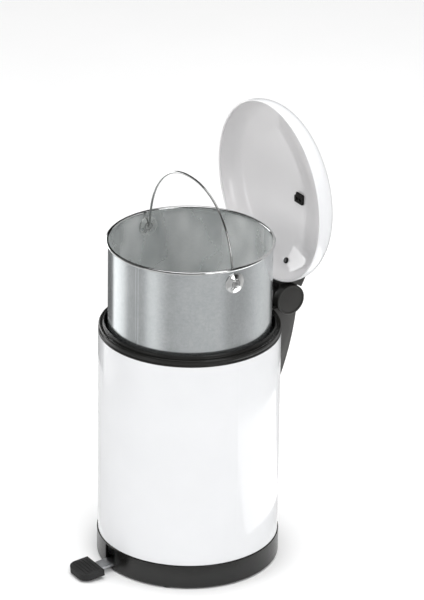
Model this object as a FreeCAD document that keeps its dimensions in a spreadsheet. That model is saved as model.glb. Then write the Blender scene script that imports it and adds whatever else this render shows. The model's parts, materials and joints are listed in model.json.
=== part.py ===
import FreeCAD, Part
import Sketcher

import math
import os

# Pedal bin: a round sheet-steel can with a hinged lid, a pedal that lifts the lid
# through a push rod, and a galvanised bucket with a wire bail inside.
#
# Frame: millimetres, +Z up, origin on the floor at the can's axis, hinge at +Y,
# pedal at -Y. The model stands in its open state: lid up, pedal down, bucket
# drawn up out of the can and bail upright.

# ---------------------------------------------------------------- driving sizes

SIZES = {
    # can
    "BodyRadius": 125.0,  # outside of the sheet tube
    "BodyWall": 0.8,
    "BodyTop": 335.4,  # height of the tube's upper edge
    "RingBand": 9.6,  # height of the rim ring above the tube
    "RingWall": 5.4,  # width of the rim ring's ledge
    "RingLip": 4.6,  # upstand inside the ledge
    "RingSkirt": 9.0,  # depth of the rim ring inside the tube
    "BaseBand": 36.0,  # height of the base ring outside the tube
    "BaseProud": 1.4,  # base ring outside the tube
    "BaseWall": 1.8,  # base ring's collar inside the tube
    "CollarHeight": 12.0,
    "FloorSheet": 1.5,
    "FootRadius": 9.0,
    "FootHeight": 3.0,
    "FootProud": 1.5,
    # lid
    "LidOverhang": 2.5,  # lid's skirt outside the can's tube
    "LidSheet": 1.2,
    "LidSkirt": 5.0,
    "LidShoulder": 29.4,  # radius between the skirt and the crown
    "LidRise": 54.5,  # rim plane to the top of the crown
    "LidGap": 2.0,  # rim plane of the closed lid above the rim ring
    "LidHem": 1.3,  # radius of the rolled hem
    "LidOpen": 88.8,  # opening angle in degrees
    "ScrewInset": 16.5,  # lid screw's seat inside the skirt
    "ScrewHead": 4.2,  # radius of its head
    "ClipReach": 22.6,  # lid clip from the lid's axis
    "ClipHalf": 10.3,  # half width of its flange
    "ClipTall": 7.5,  # half length of its flange
    "SlotHalf": 7.0,  # half width of the clip's slot
    "SlotTall": 4.0,  # half length of the clip's slot
    # hinge
    "PinBehind": 21.4,  # hinge pin behind the tube
    "PinRise": 21.8,  # hinge pin above the rim ring's ledge
    "PinDiameter": 6.0,
    "BarrelRadius": 21.8,
    "BarrelBehind": 25.0,  # barrel's centre behind the tube
    "BarrelRise": 7.5,  # barrel's centre above the ledge
    "HingeHalf": 20.0,  # half width of the hinge block
    "ForkHalf": 11.0,  # half width of the gap between its cheeks
    "CapThick": 2.4,
    "TailDrop": 138.4,  # tail's lower end below the tube's upper edge
    "TailProud": 2.2,  # tail's lower end outside the tube
    "TailCurve": 420.0,  # radius of the tail's back
    "TailHalf": 9.0,
    "LugRadius": 16.0,  # push-rod lug from the pin
    "LugTip": 2.5,
    "LugDrop": 38.0,  # lug below the horizontal when closed, degrees
    # pedal
    "RodDiameter": 5.0,
    "RodInset": 5.5,  # rod's middle inside the tube's outer face, below the slot
    "RodStandoff": 6.6,  # and outside that face, under the lug
    "RodBend": 140.0,  # lower bend below the ledge
    "RodCrank": 117.0,  # height of the sloping run
    "SlotBelow": 32.0,  # rod slot's room below and above the crossing
    "SlotAbove": 6.0,
    "SlotSide": 1.5,
    "AxleOffset": 10.0,  # pedal axle in front of the can's axis
    "AxleHeight": 24.0,
    "AxleDiameter": 6.0,
    "LeverWidth": 20.0,
    "LeverSheet": 3.0,
    "LeverDrop": 7.5,  # strap's middle below the axle
    "LeverJoggle": 4.0,  # step up towards the pedal
    "RodSlack": 0.127,  # rod's stroke lost before the pedal moves
    "PedalProud": 41.0,  # middle of the pad in front of the tube, level
    "PadWidth": 46.0,
    "PadLength": 34.0,
    # bucket
    "BucketGap": 13.0,  # bucket's outer face inside the can's
    "BucketWall": 0.6,
    "BucketRimDrop": 3.2,  # seated bucket's rim below the ledge
    "BucketLift": 128.0,
    "BeadRadius": 1.9,
    "RimWire": 1.3,  # radius of the wire in the bead
    "EarRadius": 14.5,
    "EarDrop": 22.6,  # bail pivot below the bucket's top
    # bail
    "BailDiameter": 3.2,
    "BailInset": 6.1,  # bail's sides inside the bucket's outer face
    "BailRise": 112.0,
    "BailLeg": 10.0,
    "BailCrown": 160.0,  # radius of the flat crown
    "BailBend": 3.0,
    # fits
    "Play": 0.3,  # between moving faces
    "Running": 0.08,  # radial, a pin in its bore
    "RodPlay": 0.7,  # rod to lever and rod cap to lug
    "ForkPlay": 0.5,  # bracket to each cheek
}

doc = FreeCAD.newDocument("PedalBin")
sheet = doc.addObject("Spreadsheet::Sheet", "Dims")
for row, (alias, number) in enumerate(SIZES.items(), start=1):
    sheet.set(f"A{row}", alias)
    sheet.set(f"B{row}", f"{number:g}")
    sheet.setAlias(f"B{row}", alias)
doc.recompute()


class Size:
    """A number together with the sheet expression that gives it."""

    def __init__(self, value, text):
        self.value = float(value)
        self.text = text

    def __add__(self, other):
        other = size(other)
        return Size(self.value + other.value, f"({self.text} + {other.text})")

    def __sub__(self, other):
        other = size(other)
        return Size(self.value - other.value, f"({self.text} - {other.text})")

    def __mul__(self, other):
        other = size(other)
        return Size(self.value * other.value, f"({self.text} * {other.text})")

    def __truediv__(self, other):
        other = size(other)
        return Size(self.value / other.value, f"({self.text} / {other.text})")

    def __radd__(self, other):
        return size(other) + self

    def __rsub__(self, other):
        return size(other) - self

    def __rmul__(self, other):
        return size(other) * self

    def __neg__(self):
        return size(0) - self


def size(source):
    """The Size of an alias, of a plain number, or of a Size."""
    if isinstance(source, Size):
        return source
    if isinstance(source, str):
        return Size(sheet.get(source), f"Dims.{source}")
    return Size(source, f"({source:g})")


def root(area):
    return Size(math.sqrt(area.value), f"sqrt({area.text})")


def sine(angle):
    return Size(math.sin(math.radians(angle.value)), f"sin({angle.text})")


def cosine(angle):
    return Size(math.cos(math.radians(angle.value)), f"cos({angle.text})")


def arcsine(share):
    """An angle in degrees as a plain number."""
    return Size(math.degrees(math.asin(share.value)), f"(asin({share.text}) / 1 deg)")


def at(source):
    return size(source).value


ORIGIN = (size(0), size(0), size(0))
AXIS_X = FreeCAD.Vector(1, 0, 0)
AXIS_Y = FreeCAD.Vector(0, 1, 0)
AXIS_Z = FreeCAD.Vector(0, 0, 1)
pieces = []


# ---------------------------------------------------------------- modelling helpers


def new_body(label):
    body = doc.addObject("PartDesign::Body", label)
    body.Label = label
    pieces.append(body)
    return body


def new_sketch(body, role, offset=None):
    """A sketch on one of the body's own planes, moved along its normal by offset."""
    sketch = body.newObject("Sketcher::SketchObject", "Sketch")
    plane = next(f for f in body.Origin.OriginFeatures if f.Role == role)
    sketch.AttachmentSupport = [(plane, "")]
    sketch.MapMode = "FlatFace"
    if offset is not None:
        sketch.setExpression("AttachmentOffset.Base.z", size(offset).text)
    return sketch


def place_offset(sketch, spot, angle):
    """Move a sketch from its plane to spot and turn it about its own X."""
    sketch.AttachmentOffset = FreeCAD.Placement(
        FreeCAD.Vector(*(part.value for part in spot)), FreeCAD.Rotation(AXIS_X, angle.value)
    )
    for letter, part in zip("xyz", spot):
        sketch.setExpression(f"AttachmentOffset.Base.{letter}", part.text)
    sketch.setExpression("AttachmentOffset.Rotation.Angle", angle.text)


def pin_point(sketch, side, end, x, y):
    """Fix one end of a side at x, y from the sketch's origin."""
    for kind, length, axis in (("DistanceX", x, -2), ("DistanceY", y, -1)):
        if abs(length.value) < 1e-9:
            sketch.addConstraint(Sketcher.Constraint("PointOnObject", side, end, axis))
            continue
        if length.value > 0:
            rule = Sketcher.Constraint(kind, -1, 1, side, end, length.value)
            text = length.text
        else:
            rule = Sketcher.Constraint(kind, side, end, -1, 1, -length.value)
            text = (-length).text
        number = sketch.addConstraint(rule)
        sketch.setExpression(f"Constraints[{number}]", text)


def arc_between(start, end, radius):
    """The shorter arc from start to end: radius > 0 turns left, radius < 0 turns right."""
    chord = end - start
    left = FreeCAD.Vector(-chord.y, chord.x, 0).normalize()
    height = math.sqrt(max(radius * radius - chord.Length**2 / 4, 0))
    middle = (start + end) * 0.5 + left * math.copysign(height, radius)
    first, last = (start, end) if radius > 0 else (end, start)
    angles = [math.atan2(p.y - middle.y, p.x - middle.x) for p in (first, last)]
    circle = Part.Circle(middle, AXIS_Z, abs(radius))
    return Part.ArcOfCircle(circle, angles[0], angles[1])


def outline(sketch, corners):
    """A closed loop. A corner is (x, y) or (x, y, radius of the side that follows)."""
    spots = [(size(c[0]), size(c[1])) for c in corners]
    radii = [size(c[2]) if len(c) > 2 else None for c in corners]
    points = [FreeCAD.Vector(x.value, y.value, 0) for x, y in spots]
    ends = []
    for i, radius in enumerate(radii):
        start, end = points[i], points[(i + 1) % len(points)]
        if radius is None:
            side = sketch.addGeometry(Part.LineSegment(start, end))
            ends.append((side, 1, 2))
            continue
        side = sketch.addGeometry(arc_between(start, end, radius.value))
        ends.append((side, 1, 2) if radius.value > 0 else (side, 2, 1))
    for i, (side, first, _) in enumerate(ends):
        before, _, last = ends[i - 1]
        sketch.addConstraint(Sketcher.Constraint("Coincident", before, last, side, first))
        pin_point(sketch, side, first, *spots[i])
        if radii[i] is None:
            continue
        length = radii[i] if radii[i].value > 0 else -radii[i]
        rule = Sketcher.Constraint("Radius", side, length.value)
        number = sketch.addConstraint(rule)
        sketch.setExpression(f"Constraints[{number}]", length.text)


def ring(sketch, x, y, radius):
    """A circle in the sketch."""
    x, y, radius = size(x), size(y), size(radius)
    centre = FreeCAD.Vector(x.value, y.value, 0)
    side = sketch.addGeometry(Part.Circle(centre, AXIS_Z, radius.value))
    pin_point(sketch, side, 3, x, y)
    number = sketch.addConstraint(Sketcher.Constraint("Radius", side, radius.value))
    sketch.setExpression(f"Constraints[{number}]", radius.text)


def rectangle(sketch, left, right, low, high):
    outline(sketch, [(left, low), (right, low), (right, high), (left, high)])


def pad(body, sketch, length, symmetric=False, backward=False):
    feature = body.newObject("PartDesign::Pad", "Pad")
    feature.Profile = (sketch, [""])
    feature.setExpression("Length", size(length).text)
    feature.SideType = "Symmetric" if symmetric else "One side"
    feature.Reversed = backward
    return feature


def turn(body, sketch, kind="Revolution"):
    """Revolve a profile about the sketch's vertical axis, adding or (Groove) cutting."""
    feature = body.newObject(f"PartDesign::{kind}", kind)
    feature.Profile = (sketch, [""])
    feature.ReferenceAxis = (sketch, ["V_Axis"])
    feature.Angle = 360
    return feature


def check_cut(body, before, feature):
    doc.recompute()
    if not body.Shape.Volume < before - 1e-3:
        raise RuntimeError(f"{body.Label}: {feature.Name} cuts nothing")


def pocket(body, sketch, length, symmetric=False, backward=False):
    doc.recompute()
    before = body.Shape.Volume
    feature = body.newObject("PartDesign::Pocket", "Pocket")
    feature.Profile = (sketch, [""])
    feature.setExpression("Length", size(length).text)
    feature.SideType = "Symmetric" if symmetric else "One side"
    feature.Reversed = backward
    check_cut(body, before, feature)
    return feature


def groove(body, sketch):
    doc.recompute()
    before = body.Shape.Volume
    feature = turn(body, sketch, "Groove")
    check_cut(body, before, feature)
    return feature


def turned(label, profile):
    """A body turned about its own Z axis from (radius, height) corners."""
    body = new_body(label)
    outline(new_sketch(body, "XZ_Plane"), profile)
    turn(body, body.Group[-1])
    return body


def place(item, spot=ORIGIN, axis=AXIS_X, angle=0):
    """Bind a piece's Placement: spot is where its own origin goes."""
    angle = size(angle)
    item.Placement = FreeCAD.Placement(
        FreeCAD.Vector(*(part.value for part in spot)), FreeCAD.Rotation(axis, angle.value)
    )
    for letter, part in zip("xyz", spot):
        item.setExpression(f"Placement.Base.{letter}", part.text)
    if angle.value:
        item.setExpression("Placement.Rotation.Angle", angle.text)
    return item


def cylinder(name, radius, height, spot=ORIGIN, axis=AXIS_X, angle=0):
    """A Part::Cylinder. Its axis is Z, turned by angle about axis."""
    item = doc.addObject("Part::Cylinder", name)
    item.setExpression("Radius", size(radius).text)
    item.setExpression("Height", size(height).text)
    return place(item, spot, axis, angle)


def torus(name, big, small, height):
    item = doc.addObject("Part::Torus", name)
    item.setExpression("Radius1", size(big).text)
    item.setExpression("Radius2", size(small).text)
    return place(item, (size(0), size(0), size(height)))


def boolean(kind, name, base, tool):
    item = doc.addObject(f"Part::{kind}", name)
    item.Base = base
    item.Tool = tool
    return item


def keep(item, label):
    item.Label = label
    pieces.append(item)
    return item


def group(label, members):
    """Several equal solids in one node."""
    item = doc.addObject("Part::Compound", label)
    item.Links = members
    return keep(item, label)


# ---------------------------------------------------------------- derived sizes

play = size("Play")
body_radius = size("BodyRadius")
body_inner = body_radius - "BodyWall"
ledge = size("BodyTop") + "RingBand"
lid_radius = body_radius + "LidOverhang"
pin_offset = body_radius + "PinBehind"
barrel_offset = body_radius + "BarrelBehind"
tail_foot = size("BodyTop") - "TailDrop"
rod_inside = body_radius - "RodInset"
rod_outside = body_radius + "RodStandoff"
pedal_reach = body_radius + "PedalProud"
bucket_radius = body_radius - "BucketGap"
collar_inner = body_inner - "BaseWall"
floor_under = size("BaseBand") + 4
floor_top = floor_under + "FloorSheet"
wall_inner = bucket_radius - "BucketWall"
bucket_foot = floor_top + play + "BucketLift"
bucket_top = ledge - "BucketRimDrop" + "BucketLift"
bail_pivot = bucket_top - "EarDrop"
pin_height = ledge + "PinRise"
pin_spot = (size(0), pin_offset, pin_height)
barrel_height = ledge + "BarrelRise"
pin_radius = size("PinDiameter") / 2
rod_radius = size("RodDiameter") / 2
axle_radius = size("AxleDiameter") / 2
bail_radius = size("BailDiameter") / 2

# The lid's own frame: origin on the lid's axis in its rim plane, +Z through its crown.
# Closed, its rim plane is lid_rest above the floor; open, it is turned about the pin.
lid_rest = ledge + "LidGap"
pin_above_rim = pin_height - lid_rest
lid_spot = (
    size(0),
    pin_offset - pin_offset * cosine(size("LidOpen"))
    - pin_above_rim * sine(size("LidOpen")),
    pin_height + pin_offset * sine(size("LidOpen"))
    - pin_above_rim * cosine(size("LidOpen")),
)


def on_lid(item):
    return place(item, lid_spot, AXIS_X, -size("LidOpen"))


# ---------------------------------------------------------------- can


def outer_body():
    body = new_body("outer_body")
    tube = new_sketch(body, "XZ_Plane")
    rectangle(tube, body_inner, "BodyRadius", "BaseBand", "BodyTop")
    turn(body, tube)
    slot = new_sketch(body, "XZ_Plane")
    rectangle(slot, -slot_half, slot_half, rod_slot[0], rod_slot[1])
    pocket(body, slot, body_radius + 1)
    holes = new_sketch(body, "XZ_Plane")
    for x, z in screw_spots:
        ring(holes, x, z, screw_radius)
    pocket(body, holes, body_radius + 1)
    return body


def rim_ring():
    """Moulded ring: band flush with the tube, ledge, upstanding lip, skirt inside."""
    outer = body_radius
    shelf = outer - 1.2 - "RingWall"
    lip = shelf - 1.2
    inner = lip - 0.8
    top = ledge + "RingLip"
    return turned(
        "rim_ring",
        [
            (body_inner, "BodyTop"),
            (outer, "BodyTop"),
            (outer, size("BodyTop") + 1.9, 0.9),
            (outer - 0.8, size("BodyTop") + 2.7, -0.9),
            (outer - 0.35, size("BodyTop") + 4.2),
            (outer - 0.35, ledge - 1.6, 1.7),
            (outer - 1.2, ledge),
            (shelf, ledge),
            (lip, top - 0.9, 1.0),
            (inner, top - 0.6),
            (inner, ledge - 2),
            (inner + 1.2, ledge - 5),
            (inner + 1.2, size("BodyTop") - "RingSkirt"),
            (body_inner, size("BodyTop") - "RingSkirt"),
        ],
    )


lever_slot_low = size(7)  # the lever, pressed down, stays above this


def base_ring():
    """Moulded base: outside band, collar inside the tube, ledge for the floor plate."""
    outer = body_radius + "BaseProud"
    foot = size("FootProud")
    body = turned(
        "base_ring",
        [
            (outer - 14, foot),
            (outer - 1.5, foot),
            (outer, foot + 1.5),
            (outer, size("BaseBand") - 1.2),
            (outer - 1.2, "BaseBand"),
            (body_inner, "BaseBand"),
            (body_inner, size("BaseBand") + "CollarHeight"),
            (collar_inner, size("BaseBand") + "CollarHeight"),
            (collar_inner, floor_under),
            (collar_inner - 6, floor_under),
            (collar_inner - 6, floor_under - 2.5),
            (collar_inner, floor_under - 2.5),
            (collar_inner, foot + 3),
            (outer - 14, foot + 3),
        ],
    )
    strap = size("LeverWidth") / 2 + 2
    front = new_sketch(body, "XZ_Plane")
    rectangle(front, -strap, strap, lever_slot_low, size("BaseBand") - 2.4)
    pocket(body, front, outer + 1, backward=True)
    back = new_sketch(body, "XY_Plane")
    rectangle(back, -strap, strap, outer - 20, collar_inner)
    pocket(body, back, floor_under - 4, backward=True)
    notch = new_sketch(body, "XY_Plane")
    rectangle(notch, -slot_half, slot_half, outer - 20, rod_inside + rod_radius + play)
    pocket(body, notch, floor_under + "CollarHeight", backward=True)
    for turn_by in foot_angles:
        recess = new_sketch(body, "XY_Plane")
        ring(recess, *foot_spot(turn_by), "FootRadius")
        pocket(body, recess, "FootHeight", backward=True)
    return body


def floor_plate():
    """Pressed disc on the base ring's ledge, with a notch for the push rod."""
    rim = collar_inner
    body = turned(
        "floor_plate",
        [
            (0, floor_under),
            (rim, floor_under),
            (rim, floor_top + 4),
            (rim - "FloorSheet", floor_top + 4),
            (rim - "FloorSheet", floor_top),
            (0, floor_top),
        ],
    )
    notch = new_sketch(body, "XY_Plane", floor_under - 1)
    rectangle(notch, -slot_half, slot_half, rod_inside - slot_half, rim + 1)
    pocket(body, notch, "CollarHeight", backward=True)
    return body


foot_angles = (45, 135, 225, 315)
foot_circle = body_radius + "BaseProud" - 9.5 - 1.5


def foot_spot(angle):
    turn_by = math.radians(angle)
    return foot_circle * math.cos(turn_by), foot_circle * math.sin(turn_by)


def rubber_feet():
    feet = []
    for angle in foot_angles:
        x, y = foot_spot(angle)
        feet.append(cylinder("foot", "FootRadius", "FootHeight", (x, y, size(0))))
    return group("rubber_feet", feet)


# ---------------------------------------------------------------- hinge on the can

screw_radius = size(2)
screw_bite = size(7)  # lid screw into its bracket
screw_spots = [
    (size(x), size("BodyTop") - z) for x in (-11.5, 11.5) for z in (18, 38)
]
rod_slope = (rod_outside - rod_inside) / "RodCrank"
rod_bend = ledge - "RodBend"
slot_half = rod_radius + "SlotSide"
rod_slot = (
    rod_bend - "SlotBelow" + (body_inner - rod_inside - rod_radius) / rod_slope,
    rod_bend + "SlotAbove" + (body_radius - rod_inside + rod_radius) / rod_slope,
)
fork_floor = ledge - 7


def hinge_housing():
    """Two round cheeks on a hollow tail that covers the rod's slot."""
    tail = tail_foot
    barrel = barrel_offset
    radius = size("BarrelRadius")
    low = size(-19.2)
    low_y = root(radius * radius - low * low)
    front = size(-8.5)
    front_y = root(radius * radius - front * front)
    body = new_body("hinge_housing")
    side = new_sketch(body, "YZ_Plane")
    inside = body_radius - 6
    outline(
        side,
        [
            (inside, tail),
            (body_radius + "TailProud", tail, "TailCurve"),
            (barrel + low_y, barrel_height + low, radius),
            (barrel, barrel_height + radius, radius),
            (barrel - front_y, barrel_height + front),
            (inside, barrel_height + front),
        ],
    )
    pad(body, side, size("HingeHalf") * 2, symmetric=True)
    for sign in (-1, 1):
        flank = new_sketch(body, "XZ_Plane")
        wide = size("HingeHalf") * sign
        outline(
            flank,
            [
                (size("TailHalf") * sign, tail - 1),
                (wide * 2, tail - 1),
                (wide * 2, size("BodyTop") - 2),
                (wide, size("BodyTop") - 2),
            ],
        )
        pocket(body, flank, barrel * 2)
    fork = new_sketch(body, "XZ_Plane")
    rectangle(fork, -size("ForkHalf"), "ForkHalf", fork_floor, barrel_height + radius + 1)
    pocket(body, fork, barrel * 2)
    channel = new_sketch(body, "YZ_Plane")
    outline(
        channel,
        [
            (inside - 1, tail + 3),
            (body_radius + "TailProud" - 1.6, tail + 3, "TailCurve"),
            (barrel - 4, fork_floor + 1),
            (inside - 1, fork_floor + 1),
        ],
    )
    pocket(body, channel, (rod_radius + 3) * 2, symmetric=True)
    seat = new_sketch(body, "XZ_Plane")
    rectangle(seat, 0, "BodyRadius", tail - 2, barrel_height + radius + 2)
    groove(body, seat)
    bores = new_sketch(body, "YZ_Plane")
    ring(bores, pin_offset, pin_height, pin_radius)
    pocket(body, bores, size("HingeHalf") * 2 + 2, symmetric=True)
    holes = new_sketch(body, "XZ_Plane")
    for x, z in screw_spots:
        ring(holes, x, z, screw_radius)
    pocket(body, holes, body_radius + screw_length)
    return body


screw_length = size(8)
screw_head = size(3.6)


def housing_screws():
    """Four screws through the backing plate and the tube into the hinge block."""
    screws = []
    for x, z in screw_spots:
        reach = root(plate_inner * plate_inner - (x * x + screw_head * screw_head + 80))
        length = body_radius + screw_length - reach
        shank = cylinder("shank", screw_radius, length, (x, reach, z), AXIS_X, -90)
        head = cylinder("head", screw_head, 2.2, (x, reach - 2.2, z), AXIS_X, -90)
        screws.append(boolean("Fuse", "screw", shank, head))
    return group("housing_screws", screws)


plate_inner = body_inner - 1.5


def hinge_backing_plate():
    """Curved steel plate inside the tube that spreads the hinge's load."""
    body = new_body("hinge_backing_plate")
    low = size("BodyTop") - 49
    high = size("BodyTop") - "RingSkirt" - 1
    section = new_sketch(body, "XZ_Plane")
    rectangle(section, plate_inner, body_inner, low, high)
    turn(body, section)
    half = size("HingeHalf") - 2
    for left, right, back in ((-200, -half, 200), (half, 200, 200)):
        side = new_sketch(body, "XZ_Plane")
        rectangle(side, left, right, low - 1, high + 1)
        pocket(body, side, back * 2, symmetric=True)
    front = new_sketch(body, "XZ_Plane")
    rectangle(front, -half - 1, half + 1, low - 1, high + 1)
    pocket(body, front, 200, backward=True)
    holes = new_sketch(body, "XZ_Plane")
    for x, z in screw_spots:
        ring(holes, x, z, screw_radius)
    pocket(body, holes, body_radius + 1)
    return body


def hinge_cap(label, sign):
    """Round cover with a shallow dished face."""
    radius = size("BarrelRadius")
    thick = size("CapThick")
    cap = turned(
        label,
        [
            (0, 0),
            (radius, 0),
            (radius, thick - 1, 1),
            (radius - 1, thick),
            (radius - 2.6, thick),
            (radius - 3.4, thick - 0.6),
            (0, thick - 0.6),
        ],
    )
    spot = (size("HingeHalf") * sign, barrel_offset, barrel_height)
    return place(cap, spot, AXIS_Y, 90 * sign)


def hinge_pin():
    half = size("HingeHalf")
    spot = (-half, pin_offset, pin_height)
    return keep(cylinder("pin", pin_radius, half * 2, spot, AXIS_Y, 90), "hinge_pin")


def rod_guides():
    """Two hat-shaped saddles on the tube's inner wall that keep the rod upright."""
    guides = []
    for height in (90, 160):
        half = rod_radius + play
        near = rod_inside - half
        tall = size(10)
        shell = box("saddle", half + 1, near - 1, height, tall)
        bore = box("saddle_bore", half, near, height - 1, tall + 2)
        hat = boolean("Cut", "hat", shell, bore)
        tabs = box("tabs", half + 8, body_inner - 2.2, height, tall)
        gap = box("tab_gap", half, near, height - 1, tall + 2)
        tabs = boolean("Cut", "tab_pair", tabs, gap)
        whole = boolean("Fuse", "guide_blank", hat, tabs)
        can = cylinder("guide_limit", body_inner, tall + 2, (size(0), size(0), size(height - 1)))
        guides.append(boolean("Common", "guide", whole, can))
    return group("rod_guides", guides)


def box(name, half, near, low, tall):
    """A box of the given half width that runs from y = near out past the tube."""
    item = doc.addObject("Part::Box", name)
    item.setExpression("Length", (size(half) * 2).text)
    item.setExpression("Width", (body_radius + 5 - near).text)
    item.setExpression("Height", size(tall).text)
    return place(item, (-size(half), size(near), size(low)))


# ---------------------------------------------------------------- pedal

axle_spot = (size(0), -size("AxleOffset"), size("AxleHeight"))
lug_open = size("LidOpen") - "LugDrop"
rod_stroke = "LugRadius" * (sine(lug_open) + sine(size("LugDrop")))
lever_arm = rod_inside + "AxleOffset"
half_swing = arcsine((rod_stroke - "RodSlack") / (lever_arm * 2))
lever_half = size("LeverWidth") / 2
bracket_inner = lever_half + play


def axle_bracket(label, sign):
    """Bent steel angle under the floor plate that carries one end of the axle."""
    body = new_body(label)
    near = bracket_inner * sign
    far = (bracket_inner + 2) * sign
    tab = (bracket_inner + 14) * sign
    section = new_sketch(body, "XZ_Plane")
    low = size("AxleHeight") - axle_radius - 5
    outline(
        section,
        [(near, low), (far, low), (far, floor_under - 2), (tab, floor_under - 2),
         (tab, floor_under), (near, floor_under)],
    )
    pad(body, section, 22, symmetric=True)
    place(body, (size(0), -size("AxleOffset"), size(0)))
    bore = new_sketch(body, "YZ_Plane")
    ring(bore, 0, "AxleHeight", axle_radius)
    pocket(body, bore, 100, symmetric=True)
    return body


def bracket_rivets():
    rivets = []
    for sign in (-1, 1):
        for shift in (-6, 6):
            spot = ((bracket_inner + 9) * sign, shift - size("AxleOffset"), floor_under - 3.4)
            rivets.append(cylinder("rivet", 2.5, 1.4, spot))
    return group("bracket_rivets", rivets)


def pedal_axle():
    half = bracket_inner + 5
    spot = (-half, -size("AxleOffset"), size("AxleHeight"))
    return keep(cylinder("axle", axle_radius, half * 2, spot, AXIS_Y, 90), "pedal_axle")


def axle_clips():
    """Push-on washers outside the brackets."""
    clips = []
    for sign in (-1, 1):
        start = (bracket_inner + 2) * sign
        spot = (start, -size("AxleOffset"), size("AxleHeight"))
        disc = cylinder("clip_disc", axle_radius + 2.5, 1, spot, AXIS_Y, 90 * sign)
        hole = cylinder("clip_hole", axle_radius, 1, spot, AXIS_Y, 90 * sign)
        clips.append(boolean("Cut", "clip", disc, hole))
    return group("axle_clips", clips)


def on_lever(item):
    return place(item, axle_spot, AXIS_X, half_swing)


def pedal_lever():
    """Pressed strap with two ears; its own origin is on the axle, strap level."""
    body = new_body("pedal_lever")
    half = size("LeverSheet") / 2
    low = -size("LeverDrop") - half
    high = -size("LeverDrop") + half
    step = size("LeverJoggle")
    rear = lever_arm + 2
    front = -(pedal_reach + (size("PadLength") / 2 - 4) - "AxleOffset")
    side = new_sketch(body, "YZ_Plane")
    outline(
        side,
        [(rear, low), (rear, high), (-38, high), (-58, high + step), (front, high + step),
         (front, low + step), (-58, low + step), (-38, low)],
    )
    pad(body, side, "LeverWidth", symmetric=True)
    ears = new_sketch(body, "YZ_Plane")
    outline(
        ears,
        [(-9, low + 1), (9, low + 1), (6.5, 0, 6.5), (0, 6.5, 6.5), (-6.5, 0)],
    )
    pad(body, ears, "LeverWidth", symmetric=True)
    gap = new_sketch(body, "YZ_Plane")
    rectangle(gap, -10, 10, high, 7.5)
    pocket(body, gap, size("LeverWidth") - 5, symmetric=True)
    bore = new_sketch(body, "YZ_Plane")
    ring(bore, 0, 0, axle_radius + "Running")
    pocket(body, bore, size("LeverWidth") + 2, symmetric=True)
    return on_lever(body)


def pedal_pad():
    """Ribbed pad moulded round the strap's end, with rounded front corners."""
    body = new_body("pedal_pad")
    half = size("PadWidth") / 2
    back = -(pedal_reach - size("PadLength") / 2 - "AxleOffset")
    front = back - "PadLength"
    strap = -size("LeverDrop") + "LeverJoggle"
    low = strap - size("LeverSheet") / 2 - 1.5
    top = strap + size("LeverSheet") / 2 + 4.5
    plan = new_sketch(body, "XY_Plane", low)
    corner = size(14)
    outline(
        plan,
        [
            (-half, back),
            (-half, front + corner, corner),
            (-half + corner, front),
            (half - corner, front, corner),
            (half, front + corner),
            (half, back),
        ],
    )
    pad(body, plan, top - low)
    slot = new_sketch(body, "XZ_Plane")
    sheet_half = size("LeverSheet") / 2
    rectangle(slot, -lever_half, lever_half, strap - sheet_half, strap + sheet_half)
    depth = pedal_reach + (size("PadLength") / 2 - 4) - "AxleOffset"
    pocket(body, slot, depth, backward=True)
    for row in range(5):
        rib = new_sketch(body, "YZ_Plane")
        start = back - 5 - row * 5
        rectangle(rib, start - 2, start, top - 0.8, top + 1)
        pocket(body, rib, (half - 6) * 2, symmetric=True)
    return on_lever(body)


lever_top_at_rod = (
    axle_spot[2]
    + lever_arm * sine(half_swing)
    - (size("LeverDrop") - size("LeverSheet") / 2) * cosine(half_swing)
)
rod_foot = lever_top_at_rod + "RodPlay"
lug_height = pin_height + size("LugRadius") * sine(lug_open)
cap_top = lug_height - "LugTip" - "RodPlay"
cap_tall = size(12)


def rod_path():
    """Up inside the tube, out through its slot, then up behind the rim."""
    spots = [
        (at(rod_inside), at(rod_foot)),
        (at(rod_inside), at(rod_bend)),
        (at(rod_outside), at(rod_bend + "RodCrank")),
        (at(rod_outside), at(cap_top - cap_tall) + 6),
    ]
    points = [FreeCAD.Vector(0, y, z) for y, z in spots]
    return rounded_path(points, 30)


def rounded_path(points, radius):
    """Straight runs joined by tangent arcs of one radius."""
    edges = []
    start = points[0]
    for before, corner, after in zip(points, points[1:], points[2:]):
        into = (corner - before).normalize()
        out = (after - corner).normalize()
        half_turn = into.getAngle(out) / 2
        cut = radius * math.tan(half_turn)
        first, last = corner - into * cut, corner + out * cut
        bisector = (out - into).normalize()
        centre = corner + bisector * (radius / math.cos(half_turn))
        middle = centre - bisector * radius
        edges.append(Part.LineSegment(start, first).toShape())
        edges.append(Part.Arc(first, middle, last).toShape())
        start = last
    edges.append(Part.LineSegment(start, points[-1]).toShape())
    return Part.Wire(edges)


def bent_rod(label, path, radius):
    """A round rod swept along a wire."""
    first = path.Edges[0]
    start = first.valueAt(first.FirstParameter)
    along = first.tangentAt(first.FirstParameter)
    section = Part.Wire(Part.Circle(start, along, at(radius)).toShape())
    item = doc.addObject("Part::Feature", label)
    item.Shape = path.makePipeShell([section], True, False)
    return keep(item, label)


def push_rod():
    return bent_rod("push_rod", rod_path(), rod_radius)


def rod_cap():
    """Plastic cap that carries the lug, with a blind bore for the rod."""
    radius = rod_radius + 1.2
    bore = cap_tall - 6
    cap = turned(
        "rod_cap",
        [
            (rod_radius, 0),
            (radius, 0),
            (radius, cap_tall - 1, 1),
            (radius - 1, cap_tall),
            (0, cap_tall),
            (0, cap_tall - bore),
            (rod_radius, cap_tall - bore),
        ],
    )
    return place(cap, (size(0), rod_outside, cap_top - cap_tall))


# ---------------------------------------------------------------- lid

lid_run = lid_radius - "LidShoulder"
lid_climb = size("LidRise") - "LidSkirt"
crown_radius = (
    lid_run * lid_run + lid_climb * lid_climb - size("LidShoulder") * "LidShoulder"
) / ((lid_climb - "LidShoulder") * 2)
crown_centre = size("LidRise") - crown_radius


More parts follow.
